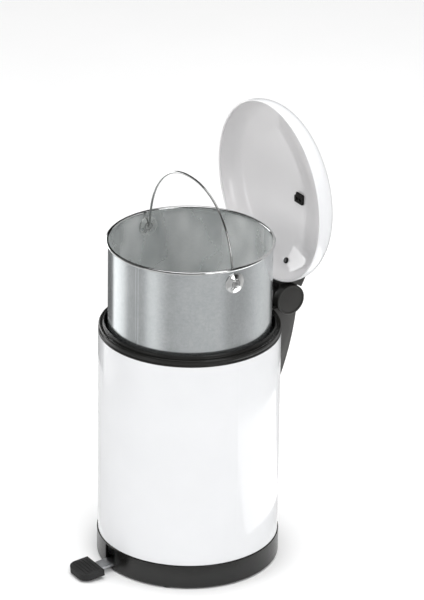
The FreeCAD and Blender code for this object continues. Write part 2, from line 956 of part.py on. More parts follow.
def lid_arc(inset):
    """Where the shoulder meets the crown, for a skin inset from the outside."""
    reach = crown_radius - "LidShoulder"
    spot = crown_radius - inset
    return (
        lid_run * spot / reach,
        crown_centre + (size("LidSkirt") - crown_centre) * spot / reach,
    )


# The lid screw stands square to the shoulder, along a radius from its centre.
shoulder_inner = size("LidShoulder") - "LidSheet"
screw_tilt = arcsine((lid_radius - "ScrewInset" - lid_run) / shoulder_inner)
clip_reach = size("ClipReach")
slot_sides = (
    -size("SlotHalf"), size("SlotHalf"), clip_reach - "SlotTall", clip_reach + "SlotTall"
)


def screw_hole(body):
    """A round hole along the lid screw's axis."""
    hole = new_sketch(body, "XY_Plane")
    place_offset(hole, (size(0), lid_run, size("LidSkirt")), -screw_tilt)
    ring(hole, 0, 0, screw_radius)
    pocket(body, hole, size("LidShoulder") + screw_bite + 1, backward=True)


def lid_shell():
    """Deep dish with a rolled hem, a hole for its screw and a slot for its clip."""
    body = new_body("lid_shell")
    outer = lid_radius
    inner = outer - "LidSheet"
    hem = size("LidHem")
    meet_out = lid_arc(size(0))
    meet_in = lid_arc(size("LidSheet"))
    profile = new_sketch(body, "XZ_Plane")
    outline(
        profile,
        [
            (inner, hem),
            (outer, hem),
            (outer, "LidSkirt", "LidShoulder"),
            (*meet_out, crown_radius),
            (0, "LidRise"),
            (0, size("LidRise") - "LidSheet", -(crown_radius - "LidSheet")),
            (*meet_in, -(size("LidShoulder") - "LidSheet")),
            (inner, "LidSkirt"),
        ],
    )
    turn(body, profile)
    roll = new_sketch(body, "XZ_Plane")
    ring(roll, outer - hem, hem, hem)
    turn(body, roll)
    screw_hole(body)
    clip_slot = new_sketch(body, "XY_Plane")
    rectangle(clip_slot, *slot_sides)
    pocket(body, clip_slot, "LidRise", backward=True)
    return on_lid(body)


wide_half = size("HingeHalf")
narrow_half = size("ForkHalf") - "ForkPlay"


# The barrel's centre in the lid's frame, seen from the pin: lid closed, lid open.
barrel_shut = (size("BarrelBehind") - "PinBehind", size("BarrelRise") - "PinRise")
barrel_open = (
    barrel_shut[0] * cosine(size("LidOpen")) - barrel_shut[1] * sine(size("LidOpen")),
    barrel_shut[0] * sine(size("LidOpen")) + barrel_shut[1] * cosine(size("LidOpen")),
)


def clear_of_barrel(centre, gap, direction):
    """A strap corner that clears the barrel by gap, in a direction in degrees."""
    reach = size("BarrelRadius") + gap
    angle = size(direction)
    return (
        pin_offset + centre[0] + reach * cosine(angle),
        pin_above_rim + centre[1] + reach * sine(angle),
    )


def lid_bracket():
    """Strap over the lid's crown, narrowed to a knuckle and lug between the cheeks."""
    body = new_body("lid_bracket")
    pin_y = pin_offset
    pin_z = pin_above_rim
    strap_end = clear_of_barrel(barrel_open, 2.25, 129.72)
    strap = new_sketch(body, "YZ_Plane")
    front = size("ClipReach") - 12
    outline(
        strap,
        [
            (front, size("LidRise") - 8),
            (pin_y - 26, pin_z - 4),
            clear_of_barrel(barrel_shut, 0.5, 146.52),
            clear_of_barrel(barrel_open, 1.56, 159.45),
            strap_end,
            (pin_y - 12.6, pin_z + 27.9, 90),
            (pin_y - 50, pin_z + 32.5, -240),
            (front + 8, size("LidRise") + 3.2),
            (front, size("LidRise") + 1.5),
        ],
    )
    pad(body, strap, wide_half * 2, symmetric=True)
    knuckle = new_sketch(body, "YZ_Plane")
    lug_y = pin_y - size("LugRadius") * cosine(size("LugDrop"))
    lug_z = pin_z - size("LugRadius") * sine(size("LugDrop"))
    tip = size("LugTip")
    outline(
        knuckle,
        [
            (pin_y - 19, pin_z + 3),
            (lug_y - tip, lug_z, tip),
            (lug_y, lug_z - tip, tip),
            (lug_y + tip, lug_z),
            (lug_y + tip, pin_z - 8),
            (pin_y - 4, pin_z - 8),
            (pin_y, pin_z - 7.5, 7.5),
            (pin_y + 7.5, pin_z),
            (pin_y + 8.4, pin_z + 10),
            (pin_y + 7.2, pin_z + 18.4),
            strap_end,
            (pin_y - 20, pin_z + 20),
        ],
    )
    pad(body, knuckle, narrow_half * 2, symmetric=True)
    dish = new_sketch(body, "XZ_Plane")
    meet = lid_arc(size(0))
    outline(
        dish,
        [
            (0, -20),
            (lid_radius, -20),
            (lid_radius, "LidSkirt", "LidShoulder"),
            (*meet, crown_radius),
            (0, "LidRise"),
        ],
    )
    groove(body, dish)
    for sign in (-1, 1):
        flank = new_sketch(body, "XY_Plane")
        outline(
            flank,
            [
                (wide_half * sign * 0.6, 0),
                (wide_half * sign * 2, 0),
                (wide_half * sign * 2, lid_run),
                (wide_half * sign, lid_run),
            ],
        )
        pocket(body, flank, size("LidRise") * 2, backward=True)
    bore = new_sketch(body, "YZ_Plane")
    ring(bore, pin_y, pin_z, pin_radius + "Running")
    pocket(body, bore, size("HingeHalf") * 2, symmetric=True)
    screw_hole(body)
    recess = new_sketch(body, "XY_Plane")
    rectangle(recess, *slot_sides)
    pocket(body, recess, size("LidRise") + 0.6, backward=True)
    return on_lid(body)


def lid_screw():
    """Pan-head screw from inside the lid into the bracket."""
    head = size("ScrewHead")
    seat = root(shoulder_inner * shoulder_inner - head * head)
    screw = turned(
        "lid_screw",
        [
            (0, seat - 2.4),
            (2.6, seat - 2.4, 1.6),
            (head, seat - 0.8),
            (head, seat),
            (screw_radius, seat),
            (screw_radius, size("LidShoulder") + screw_bite),
            (0, size("LidShoulder") + screw_bite),
        ],
    )
    angle = size("LidOpen")
    spot = (
        lid_spot[0],
        lid_spot[1] + lid_run * cosine(angle) + "LidSkirt" * sine(angle),
        lid_spot[2] - lid_run * sine(angle) + "LidSkirt" * cosine(angle),
    )
    return place(screw, spot, AXIS_X, -(angle + screw_tilt))


def lid_clip():
    """Snap clip: a notched flange inside the lid and a block through the lid's slot."""
    body = new_body("lid_clip")
    clip = clip_reach
    wide = size("ClipHalf")
    tall = size("ClipTall")
    far = clip + tall
    under = crown_centre + root(
        (crown_radius - "LidSheet") * (crown_radius - "LidSheet") - (far * far + wide * wide)
    )
    flange = new_sketch(body, "XY_Plane", under - clip_sheet)
    outline(
        flange,
        [
            (-wide + 4, clip - tall),
            (wide, clip - tall),
            (wide, far - 2),
            (wide - 2, far),
            (-wide, far),
            (-wide, clip - 1.5),
            (-wide + 4, clip - 4.5),
        ],
    )
    pad(body, flange, clip_sheet)
    block = new_sketch(body, "XY_Plane", under - 0.2)
    rectangle(block, *slot_sides)
    pad(body, block, size("LidRise") + 0.4 - under)
    for sign in (-1, 1):
        window = new_sketch(body, "XY_Plane", under - clip_sheet - 1)
        rectangle(window, 3.7 * sign - 2.2, 3.7 * sign + 2.2, clip - 0.6, clip + "SlotTall" - 0.4)
        pocket(body, window, clip_sheet + 1.4, backward=True)
    return on_lid(body)


clip_sheet = size(2.2)


# ---------------------------------------------------------------- bucket and bail

bead_circle = bucket_radius + "BeadRadius" - "RimWire"
bead_height = bucket_top - "BeadRadius"
ear_hole = size(3)
ear_depth = size(2)


def bucket_wall():
    """Sheet tube whose upper edge is rolled round the rim wire."""
    foot = bucket_foot + "BucketWall"
    tall = bead_height - "RimWire" - foot
    outside = cylinder("wall_out", bucket_radius, tall, (size(0), size(0), foot))
    inside = cylinder("wall_in", wall_inner, tall, (size(0), size(0), foot))
    tube = boolean("Cut", "wall_tube", outside, inside)
    roll = torus("roll_out", bead_circle, "BeadRadius", bead_height)
    core = torus("roll_in", bead_circle, "RimWire", bead_height)
    bead = boolean("Cut", "roll", roll, core)
    wall = boolean("Fuse", "wall_blank", tube, bead)
    drill_spot = (-bucket_radius - 2, size(0), bail_pivot)
    drill = cylinder("wall_drill", ear_hole, bucket_radius * 2 + 4, drill_spot, AXIS_Y, 90)
    return keep(boolean("Cut", "wall", wall, drill), "bucket_wall")


def rim_wire():
    return keep(torus("wire", bead_circle, "RimWire", bead_height), "rim_wire")


def bucket_bottom():
    """Recessed disc whose edge folds up round the wall's lower edge."""
    sheet_thick = size("BucketWall")
    fold = size(6)
    outer = bucket_radius + sheet_thick
    disc = turned(
        "bucket_bottom",
        [
            (0, fold - sheet_thick),
            (wall_inner - sheet_thick, fold - sheet_thick),
            (wall_inner - sheet_thick, 0),
            (outer, 0),
            (outer, fold),
            (bucket_radius, fold),
            (bucket_radius, sheet_thick),
            (wall_inner, sheet_thick),
            (wall_inner, fold),
            (0, fold),
        ],
    )
    return place(disc, (size(0), size(0), bucket_foot))


def ear_outer(label, sign):
    """Domed disc on the outside of the wall, shaped to the wall behind."""
    radius = size("EarRadius")
    dome = new_body("ear_dome")
    pieces.remove(dome)
    outline(
        new_sketch(dome, "XZ_Plane"),
        [
            (ear_hole, 0),
            (radius, 0),
            (radius, 2.4, 1.2),
            (radius - 1.2, 3.2),
            (7, 3.8),
            (5, 4.6),
            (ear_hole, 4.6),
        ],
    )
    turn(dome, dome.Group[-1])
    place(dome, ((wall_at_ear - 1.6) * sign, size(0), bail_pivot), AXIS_Y, 90 * sign)
    spot = (size(0), size(0), bail_pivot - 20)
    drum = cylinder("ear_seat", bucket_radius, 40, spot)
    return keep(boolean("Cut", "ear", dome, drum), label)


wall_at_ear = bucket_radius


def ear_inner(label, sign):
    """Disc on the inside of the wall, shaped to the wall behind."""
    radius = size("EarRadius")
    disc = new_body("ear_disc")
    pieces.remove(disc)
    outline(
        new_sketch(disc, "XZ_Plane"),
        [(ear_hole, 0), (5, 0), (7, 0.8), (radius - 1.2, 1.1, 1.2), (radius, 2.2),
         (radius, 6), (ear_hole, 6)],
    )
    turn(disc, disc.Group[-1])
    place(disc, ((wall_inner - ear_depth) * sign, size(0), bail_pivot), AXIS_Y, 90 * sign)
    spot = (size(0), size(0), bail_pivot - 20)
    drum = cylinder("disc_limit", wall_inner, 40, spot)
    return keep(boolean("Common", "ear", disc, drum), label)


def ear_eyelets():
    """Tubular rivets through each pair of ears; the bail's ends turn in them."""
    bore = bail_radius + "Running"
    eyelets = []
    for sign in (-1, 1):
        eyelet = new_body("eyelet")
        pieces.remove(eyelet)
        length = wall_at_ear + 3 - (wall_inner - ear_depth)
        outline(
            new_sketch(eyelet, "XZ_Plane"),
            [
                (bore, -0.4),
                (ear_hole + 1.1, -0.4),
                (ear_hole + 1.1, 0),
                (ear_hole, 0),
                (ear_hole, length),
                (ear_hole + 1.1, length),
                (ear_hole + 1.1, length + 0.5),
                (bore, length + 0.5),
            ],
        )
        turn(eyelet, eyelet.Group[-1])
        place(eyelet, ((wall_inner - ear_depth) * sign, size(0), bail_pivot), AXIS_Y, 90 * sign)
        eyelets.append(eyelet)
    return group("ear_eyelets", eyelets)


def bail_path():
    """Leg, shoulder, flat crown, and the same again, with ends turned outwards."""
    half, rise, leg = at(bucket_radius - "BailInset"), at("BailRise"), at("BailLeg")
    crown, bend = at("BailCrown"), at("BailBend")
    base = at(bail_pivot)
    shoulder = (crown**2 - half**2 - (leg - rise + crown) ** 2) / (2 * (crown - half))
    shoulder_x = half - shoulder
    crown_z = rise - crown
    lean = math.atan2(shoulder_x, leg - crown_z)
    end = at(wall_at_ear) + 3.7

    def spot(x, z):
        return FreeCAD.Vector(x, 0, base + z)

    def on_shoulder(angle):
        return spot(shoulder_x + shoulder * math.cos(angle), leg + shoulder * math.sin(angle))

    top_angle = math.pi / 2 - lean
    join = on_shoulder(top_angle)
    edges = [
        Part.LineSegment(spot(end, 0), spot(half + bend, 0)).toShape(),
        Part.Arc(
            spot(half + bend, 0),
            spot(half + bend * (1 - math.sqrt(0.5)), bend * (1 - math.sqrt(0.5))),
            spot(half, bend),
        ).toShape(),
        Part.LineSegment(spot(half, bend), spot(half, leg)).toShape(),
        Part.Arc(spot(half, leg), on_shoulder(top_angle / 2), join).toShape(),
    ]
    across = FreeCAD.Vector(-join.x, 0, join.z)
    crown_arc = Part.Arc(join, spot(0, rise), across).toShape()
    mirrored = [e.mirror(FreeCAD.Vector(), AXIS_X) for e in edges]
    return Part.Wire(Part.__sortEdges__(edges + [crown_arc] + mirrored))


def bail():
    return bent_rod("bail", bail_path(), bail_radius)


# ---------------------------------------------------------------- build and write


def build():
    outer_body()
    rim_ring()
    base_ring()
    floor_plate()
    rubber_feet()
    hinge_housing()
    hinge_backing_plate()
    housing_screws()
    hinge_cap("hinge_cap_left", -1)
    hinge_cap("hinge_cap_right", 1)
    hinge_pin()
    rod_guides()
    axle_bracket("axle_bracket_left", -1)
    axle_bracket("axle_bracket_right", 1)
    bracket_rivets()
    pedal_axle()
    axle_clips()
    pedal_lever()
    pedal_pad()
    push_rod()
    rod_cap()
    lid_shell()
    lid_bracket()
    lid_screw()
    lid_clip()
    bucket_wall()
    rim_wire()
    bucket_bottom()
    ear_outer("ear_outer_left", -1)
    ear_outer("ear_outer_right", 1)
    ear_inner("ear_inner_left", -1)
    ear_inner("ear_inner_right", 1)
    ear_eyelets()
    bail()


def check():
    for item in doc.Objects:
        if "Invalid" in item.State or "Error" in item.State:
            raise RuntimeError(f"{item.Name} ({item.Label}) failed: {item.State}")
    for item in pieces:
        shape = item.Shape
        if shape.isNull() or not shape.isValid() or not shape.Solids:
            raise RuntimeError(f"{item.Label} has no valid solid")


def write():
    os.makedirs("parts", exist_ok=True)
    for item in pieces:
        item.Shape.exportStep(f"parts/{item.Label}.step")
        solids = len(item.Shape.Solids)
        print(f"{item.Label}: {solids} solid(s), {item.Shape.Volume:.0f} mm3")


build()
doc.recompute()
check()
write()
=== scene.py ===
import json
import math

import bmesh
import bpy
from mathutils import Matrix, Vector, noise


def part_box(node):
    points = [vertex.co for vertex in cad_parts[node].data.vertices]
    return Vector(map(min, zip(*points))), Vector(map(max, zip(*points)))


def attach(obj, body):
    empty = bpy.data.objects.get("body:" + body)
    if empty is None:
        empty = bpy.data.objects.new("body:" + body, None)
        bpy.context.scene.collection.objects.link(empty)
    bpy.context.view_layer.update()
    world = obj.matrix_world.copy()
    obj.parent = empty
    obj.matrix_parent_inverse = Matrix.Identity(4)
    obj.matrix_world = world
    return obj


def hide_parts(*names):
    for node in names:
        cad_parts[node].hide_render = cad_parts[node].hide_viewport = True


# A pedal bin with its lid open and its bucket drawn up, in a white studio.
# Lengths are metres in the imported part's frame unless a name ends in _MM.

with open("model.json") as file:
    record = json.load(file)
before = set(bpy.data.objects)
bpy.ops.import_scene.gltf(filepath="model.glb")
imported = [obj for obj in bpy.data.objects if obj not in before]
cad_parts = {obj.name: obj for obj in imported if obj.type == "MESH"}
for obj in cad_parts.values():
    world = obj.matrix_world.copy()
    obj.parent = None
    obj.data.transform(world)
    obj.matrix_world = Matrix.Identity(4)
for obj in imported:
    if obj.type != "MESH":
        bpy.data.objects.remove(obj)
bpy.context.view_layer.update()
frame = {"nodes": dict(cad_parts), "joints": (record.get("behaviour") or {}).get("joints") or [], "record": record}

MM = 0.001
TURN = 2 * math.pi

# ---------------------------------------------------------------- sizes read from the frame

hinge = next(j for j in frame["joints"] if j["name"] == "lid_hinge")
swing = next(j for j in frame["joints"] if j["name"] == "bail_swing")
PIN = Vector(hinge["pos_m"])
LID_OPEN = math.radians(-hinge["range_deg"][0])
BAIL_PIVOT = Vector(swing["pos_m"])
body_low, body_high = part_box("outer_body")
ring_low, ring_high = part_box("rim_ring")
lid_low, lid_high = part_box("lid_shell")
bucket_low, bucket_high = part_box("bucket_wall")
bottom_low, bottom_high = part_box("bucket_bottom")
cap_low, cap_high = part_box("hinge_cap_right")
BODY_R = body_high.x
LID_R = lid_high.x
LEDGE = body_high.z + 9.6 * MM
LID_REST = LEDGE + 2.0 * MM
BUCKET_R = bucket_high.x - 2.5 * MM
SHEET = 0.6 * MM

# ---------------------------------------------------------------- mesh helpers


def make_object(name, mesh, smooth=True):
    thing = bpy.data.objects.new(name, mesh)
    bpy.context.scene.collection.objects.link(thing)
    for face in mesh.polygons:
        face.use_smooth = smooth
    return thing


def mesh_from(name, points, faces):
    mesh = bpy.data.meshes.new(name)
    mesh.from_pydata([tuple(p) for p in points], [], faces)
    mesh.validate()
    mesh.update()
    return mesh


def arc(centre, radius, start, end, steps):
    """Points on an arc in the profile plane, angles in degrees, both ends included."""
    points = []
    for i in range(steps + 1):
        angle = math.radians(start + (end - start) * i / steps)
        points.append((centre[0] + radius * math.cos(angle), centre[1] + radius * math.sin(angle)))
    return points


def lathe(name, profile, steps=256, closed=True, shape=None):
    """Turn (radius, height) points about Z. shape(radius, angle, height) may move a point."""
    points, faces = [], []
    rows = len(profile)
    for k in range(steps):
        angle = TURN * k / steps
        for radius, height in profile:
            if shape:
                radius, height = shape(radius, angle, height)
            points.append((radius * math.cos(angle), radius * math.sin(angle), height))
    spans = rows if closed else rows - 1
    for k in range(steps):
        here, there = k * rows, ((k + 1) % steps) * rows
        for i in range(spans):
            j = (i + 1) % rows
            faces.append((here + i, there + i, there + j, here + j))
    mesh = mesh_from(name, points, faces)
    weld(mesh)
    return make_object(name, mesh)


def weld(mesh, distance=1e-6):
    """Merge coincident points and turn every face outwards."""
    work = bmesh.new()
    work.from_mesh(mesh)
    bmesh.ops.remove_doubles(work, verts=work.verts, dist=distance)
    flat = [f for f in work.faces if f.calc_area() < 1e-14]
    bmesh.ops.delete(work, geom=flat, context="FACES")
    bmesh.ops.recalc_face_normals(work, faces=work.faces)
    work.to_mesh(mesh)
    work.free()
    mesh.update()


def tube(name, path, radius, sides=20, round_ends=True):
    """A round tube along a list of points, carried by parallel transport."""
    points, faces = [], []
    path = [Vector(p) for p in path]
    along = (path[1] - path[0]).normalized()
    side = along.orthogonal().normalized()
    stations = [(p, radius, None) for p in path]
    for i, (spot, size, _) in enumerate(stations):
        before = path[max(i - 1, 0)]
        after = path[min(i + 1, len(path) - 1)]
        direction = (after - before).normalized()
        side = (side - direction * side.dot(direction)).normalized()
        other = direction.cross(side)
        for k in range(sides):
            angle = TURN * k / sides
            points.append(spot + side * (size * math.cos(angle)) + other * (size * math.sin(angle)))
    rows = len(stations)
    for i in range(rows - 1):
        for k in range(sides):
            j = (k + 1) % sides
            faces.append((i * sides + k, i * sides + j, (i + 1) * sides + j, (i + 1) * sides + k))
    for end, first in ((0, path[1]), (rows - 1, path[-2])):
        ring_start = end * sides
        if round_ends:
            outward = (path[end] - first).normalized()
            tip = len(points)
            points.append(path[end] + outward * radius * 0.45)
            for k in range(sides):
                faces.append((ring_start + k, ring_start + (k + 1) % sides, tip))
        else:
            faces.append(tuple(ring_start + k for k in range(sides)))
    mesh = mesh_from(name, points, faces)
    weld(mesh)
    return make_object(name, mesh)


def join_into(name, things):
    """Join several objects' meshes into one object."""
    work = bmesh.new()
    for thing in things:
        copy = thing.data.copy()
        copy.transform(thing.matrix_world)
        work.from_mesh(copy)
        bpy.data.meshes.remove(copy)
        old = thing.data
        bpy.data.objects.remove(thing)
        bpy.data.meshes.remove(old)
    mesh = bpy.data.meshes.new(name)
    work.to_mesh(mesh)
    work.free()
    return make_object(name, mesh)


def settle(thing, matrix):
    """Move the mesh itself, so that the object stays at the origin."""
    thing.data.transform(matrix)
    thing.data.update()
    return thing


def softened(node, width, angle=32, segments=3):
    """A copy of a CAD node with its edges rounded."""
    mesh = frame["nodes"][node].data.copy()
    mesh.name = node + "_soft"
    work = bmesh.new()
    work.from_mesh(mesh)
    bmesh.ops.remove_doubles(work, verts=work.verts, dist=2e-6)
    bmesh.ops.dissolve_limit(
        work, angle_limit=math.radians(0.6), verts=work.verts, edges=work.edges
    )
    work.to_mesh(mesh)
    work.free()
    thing = make_object(node + "_soft", mesh)
    bevel = thing.modifiers.new("round", "BEVEL")
    bevel.width = width
    bevel.segments = segments
    bevel.limit_method = "ANGLE"
    bevel.angle_limit = math.radians(angle)
    bevel.use_clamp_overlap = True
    bevel.harden_normals = False
    settle_modifiers(thing)
    smooth_by_angle(thing, 35)
    return thing


def settle_modifiers(thing):
    """Apply every modifier by taking the evaluated mesh."""
    graph = bpy.context.evaluated_depsgraph_get()
    mesh = bpy.data.meshes.new_from_object(thing.evaluated_get(graph))
    thing.modifiers.clear()
    thing.data = mesh


def smooth_by_angle(thing, degrees):
    mesh = thing.data
    for face in mesh.polygons:
        face.use_smooth = True
    mesh.set_sharp_from_angle(angle=math.radians(degrees))


# ---------------------------------------------------------------- materials


def new_material(name):
    material = bpy.data.materials.new(name)
    material.use_nodes = True
    tree = material.node_tree
    shader = tree.nodes["Principled BSDF"]
    return material, tree, shader


def node(tree, kind, **values):
    made = tree.nodes.new(kind)
    for key, value in values.items():
        if key in made.inputs:
            made.inputs[key].default_value = value
        else:
            setattr(made, key, value)
    return made


def object_space(tree, stretch=(1, 1, 1)):
    """Object coordinates in metres, scaled by stretch."""
    coords = node(tree, "ShaderNodeTexCoord")
    mapping = node(tree, "ShaderNodeMapping")
    mapping.inputs["Scale"].default_value = stretch
    tree.links.new(coords.outputs["Object"], mapping.inputs["Vector"])
    return mapping.outputs["Vector"]


def noise_of(tree, vector, scale, detail=4, rough=0.55):
    made = node(tree, "ShaderNodeTexNoise", Scale=scale, Detail=detail, Roughness=rough)
    tree.links.new(vector, made.inputs["Vector"])
    return made.outputs["Fac"]


def ramp(tree, source, stops):
    """A colour ramp; stops are (position, (r, g, b))."""
    made = node(tree, "ShaderNodeValToRGB")
    elements = made.color_ramp.elements
    while len(elements) < len(stops):
        elements.new(0.5)
    for element, (position, colour) in zip(elements, stops):
        element.position = position
        element.color = (*colour, 1)
    tree.links.new(source, made.inputs["Fac"])
    return made.outputs["Color"]


def value_range(tree, source, low, high):
    made = node(tree, "ShaderNodeMapRange")
    made.inputs["To Min"].default_value = low
    made.inputs["To Max"].default_value = high
    tree.links.new(source, made.inputs["Value"])
    return made.outputs["Result"]


def bump(tree, source, strength, distance, below=None):
    made = node(tree, "ShaderNodeBump", Strength=strength, Distance=distance)
    tree.links.new(source, made.inputs["Height"])
    if below is not None:
        tree.links.new(below, made.inputs["Normal"])
    return made.outputs["Normal"]


def lacquer(name, colour, shade, rough_low, rough_high):
    """Gloss enamel over sheet steel: slight orange peel, slight tone drift."""
    material, tree, shader = new_material(name)
    space = object_space(tree)
    drift = noise_of(tree, space, 9, 3)
    tree.links.new(ramp(tree, drift, [(0.35, shade), (0.65, colour)]), shader.inputs["Base Color"])
    polish = noise_of(tree, space, 60, 3)
    tree.links.new(value_range(tree, polish, rough_low, rough_high), shader.inputs["Roughness"])
    peel = noise_of(tree, space, 420, 2)
    tree.links.new(bump(tree, peel, 0.03, 0.0002), shader.inputs["Normal"])
    shader.inputs["IOR"].default_value = 1.5
    return material


def plastic(name, dark, light, rough_low, rough_high, grain=1400, depth=0.12):
    """Moulded plastic: fine spark-eroded grain and faint flow marks."""
    material, tree, shader = new_material(name)
    space = object_space(tree)
    flow = noise_of(tree, space, 35, 4)
    tree.links.new(ramp(tree, flow, [(0.3, dark), (0.7, light)]), shader.inputs["Base Color"])
    sheen = noise_of(tree, space, 90, 3)
    tree.links.new(value_range(tree, sheen, rough_low, rough_high), shader.inputs["Roughness"])
    fine = noise_of(tree, space, grain, 2)
    tree.links.new(bump(tree, fine, depth, 0.0002), shader.inputs["Normal"])
    shader.inputs["Specular IOR Level"].default_value = 0.45
    return material


def galvanised(name, dark, light, crystals, fine, shine, rough_low, rough_high, ripple):
    """Galvanised sheet: close fine spangle, faint upright rolling marks, soft ripples."""
    material, tree, shader = new_material(name)
    space = object_space(tree)
    spangle = node(tree, "ShaderNodeTexVoronoi", Scale=420.0)
    tree.links.new(space, spangle.inputs["Vector"])
    crystal = node(tree, "ShaderNodeSeparateColor")
    tree.links.new(spangle.outputs["Color"], crystal.inputs["Color"])
    mottle = noise_of(tree, object_space(tree, (1, 1, 0.6)), 24, fine, 0.6)
    streak = noise_of(tree, object_space(tree, (1, 1, 0.02)), 300, 4)
    mixed = node(tree, "ShaderNodeMix", data_type="FLOAT")
    mixed.inputs["Factor"].default_value = crystals
    tree.links.new(mottle, mixed.inputs["A"])
    tree.links.new(crystal.outputs["Red"], mixed.inputs["B"])
    tone = ramp(tree, mixed.outputs["Result"], [(0.3, dark), (0.7, light)])
    tree.links.new(tone, shader.inputs["Base Color"])
    gloss = value_range(tree, mixed.outputs["Result"], rough_low, rough_high)
    tree.links.new(gloss, shader.inputs["Roughness"])
    rolled = bump(tree, streak, 0.035, 0.0001)
    tree.links.new(bump(tree, mottle, ripple, 0.002, rolled), shader.inputs["Normal"])
    shader.inputs["Metallic"].default_value = shine
    return material


def bare_metal(name, dark, light, rough_low, rough_high, scale=120):
    """Plated metal with fine wear in tone and gloss."""
    material, tree, shader = new_material(name)
    space = object_space(tree)
    wear = noise_of(tree, space, scale, 5, 0.6)
    tree.links.new(ramp(tree, wear, [(0.3, dark), (0.7, light)]), shader.inputs["Base Color"])
    tree.links.new(value_range(tree, wear, rough_low, rough_high), shader.inputs["Roughness"])
    tree.links.new(bump(tree, wear, 0.01, 0.0001), shader.inputs["Normal"])
    shader.inputs["Metallic"].default_value = 1
    return material


WHITE = lacquer("white_lacquer", (0.765, 0.772, 0.785), (0.745, 0.752, 0.765), 0.07, 0.12)
# The lid's inner dish: the body's white lacquer painted lighter, which is painted light on the inside of the lid
LID_INSIDE_PAINTED_LIGHT = lacquer("lid_inside_painted_light_lacquer", (0.81, 0.80, 0.805), (0.79, 0.78, 0.785), 0.03, 0.06)
BLACK = plastic("black_plastic", (0.016, 0.0155, 0.014), (0.024, 0.023, 0.021), 0.36, 0.5)
GLOSS_BLACK = plastic("gloss_black_plastic", (0.006, 0.006, 0.0055), (0.010, 0.010, 0.009), 0.2, 0.3, 900, 0.04)
MATT_BLACK = plastic("matt_black_plastic", (0.003, 0.003, 0.0028), (0.008, 0.0075, 0.006), 0.6, 0.75, 700, 0.2)
MATT_BLACK.node_tree.nodes["Principled BSDF"].inputs["Specular IOR Level"].default_value = 0.2
RUBBER = plastic("black_rubber", (0.012, 0.012, 0.012), (0.022, 0.022, 0.022), 0.65, 0.8, 700, 0.3)
ZINC = galvanised(
    "galvanised_steel", (0.70, 0.735, 0.745), (0.78, 0.81, 0.82), 0.25, 5, 0.93, 0.13, 0.24, 0.02
)
DULL_ZINC = galvanised(
    "dull_galvanised", (0.56, 0.58, 0.58), (0.97, 0.98, 0.975), 0.03, 1, 0.76, 0.22, 0.34, 0.015
)
BEAD_ZINC = bare_metal("bead_zinc", (0.62, 0.63, 0.63), (0.82, 0.83, 0.83), 0.08, 0.16, 90)
WIRE = bare_metal("zinc_wire", (0.50, 0.50, 0.49), (0.66, 0.67, 0.67), 0.14, 0.24, 60)
SHADED_STEEL = bare_metal("shaded_steel", (0.03, 0.03, 0.03), (0.09, 0.09, 0.09), 0.3, 0.5, 80)
BRIGHT = bare_metal("bright_steel", (0.70, 0.70, 0.69), (0.85, 0.86, 0.86), 0.04, 0.1, 60)
STEEL = bare_metal("zinc_steel", (0.45, 0.46, 0.47), (0.6, 0.61, 0.63), 0.28, 0.42)
DARK_STEEL = bare_metal("blackened_steel", (0.02, 0.02, 0.02), (0.05, 0.05, 0.05), 0.3, 0.45)

SLOT_MATERIALS = {
    "white_lacquer": WHITE,
    "black_plastic": BLACK,
    "black_rubber": RUBBER,
    "galvanised_steel": ZINC,
    "zinc_wire": WIRE,
    "bright_steel": BRIGHT,
    "zinc_steel": STEEL,
    "blackened_steel": DARK_STEEL,
}
NODE_MATERIALS = {"base_ring": GLOSS_BLACK, "lid_clip": MATT_BLACK}


def paint(thing, material):
    thing.data.materials.clear()
    thing.data.materials.append(material)


def finish_cad_nodes():
    """Give every CAD node its material."""
    for part in frame["record"]["subparts"]:
        thing = frame["nodes"][part["node"]]
        paint(thing, NODE_MATERIALS.get(part["node"], SLOT_MATERIALS[part["material_slot"]]))


def fit(thing, body, material, slot, *nodes):
    """Paint a piece, let it ride on its body and stand for its CAD nodes."""
    paint(thing, material)
    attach(thing, body)
    if nodes:
        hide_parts(*nodes)
    return thing


# ---------------------------------------------------------------- can


def build_rim_ring():
    """Black ring: band, groove, ledge and lip, all with rounded edges."""
    outer, top = BODY_R, LEDGE
    base = body_high.z
    shelf = outer - 6.6 * MM
    lip_in = shelf - 2.0 * MM
    lip_top = ring_high.z
    profile = [(outer - 0.8 * MM, base)]
    profile += [(outer - 0.15 * MM, base), (outer, base + 0.15 * MM)]
    profile += [(outer, base + 1.5 * MM)]
    profile += arc((outer - 0.7 * MM, base + 1.6 * MM), 0.7 * MM, 0, 70, 5)
    profile += arc((outer - 0.35 * MM, base + 3.1 * MM), 0.6 * MM, 245, 150, 5)
    profile += arc((outer - 1.6 * MM, base + 4.9 * MM), 1.25 * MM, -20, 0, 3)
    profile += arc((outer - 2.4 * MM, top - 2.1 * MM), 2.05 * MM, 0, 85, 9)
    profile += arc((shelf + 0.8 * MM, top + 0.8 * MM), 0.8 * MM, 270, 195, 5)
    profile += arc((shelf - 1.0 * MM, lip_top - 1.0 * MM), 1.0 * MM, 15, 165, 9)
    profile += [(lip_in, top - 2 * MM), (lip_in + 1.2 * MM, top - 5 * MM)]
    profile += [(lip_in + 1.2 * MM, ring_low.z), (outer - 0.8 * MM, ring_low.z)]
    ring = lathe("rim_ring_moulding", profile, 256)
    smooth_by_angle(ring, 50)
    fit(ring, "can", GLOSS_BLACK, "black_plastic", "rim_ring")


